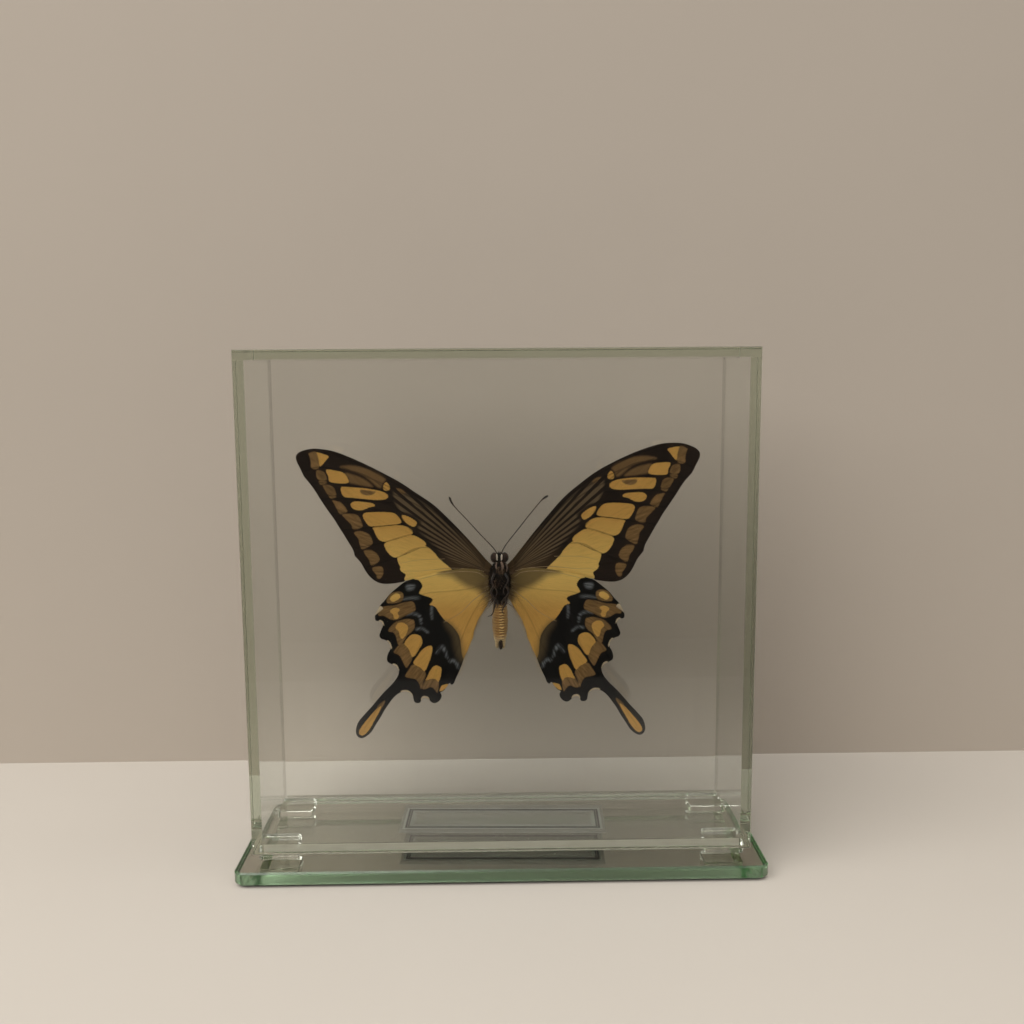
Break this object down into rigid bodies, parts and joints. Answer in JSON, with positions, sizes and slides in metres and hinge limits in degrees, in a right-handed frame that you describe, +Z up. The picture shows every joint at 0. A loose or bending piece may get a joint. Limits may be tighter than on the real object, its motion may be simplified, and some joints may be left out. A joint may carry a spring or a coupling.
{
  "type": "framed butterfly specimen",
  "caption": "Spread swallowtail butterfly, underside forward, held in a clear glass case that stands on small glass feet on a mirror-backed glass base with a bare label strip.",
  "frame": {"origin": "Centre of the underside of the base, on the surface that the case stands on.", "axes": "+X to the right and +Y away from the side that shows the butterfly's underside, +Z up."},
  "size_m": [0.16, 0.052, 0.158],
  "materials": {
    "clear_glass": "clear float glass with green ground edges",
    "base_glass": "green-edged plate glass over a mirror coat",
    "black_backing": "black backing paint under a mirror coat",
    "printed_film": "bluish translucent film with a dark double border",
    "dark_scales": "black-brown wing scales with ochre bands",
    "ochre_scales": "ochre wing scales with black bands",
    "black_fur": "black hair on the chest, ochre scales on the abdomen"
  },
  "bodies": {
    "root": {"base_backing": "black_backing", "base_plate": "base_glass", "foot_front_left": "clear_glass", "foot_front_right": "clear_glass", "foot_back_left": "clear_glass", "foot_back_right": "clear_glass", "pane_front": "clear_glass", "pane_back": "clear_glass", "pane_left": "clear_glass", "pane_right": "clear_glass", "pane_top": "clear_glass", "pane_bottom": "clear_glass", "label": "printed_film", "support_rod": "clear_glass", "body": "black_fur", "forewing_left": "dark_scales", "forewing_right": "dark_scales", "hindwing_left": "ochre_scales", "hindwing_right": "ochre_scales"}
  },
  "joints": []
}
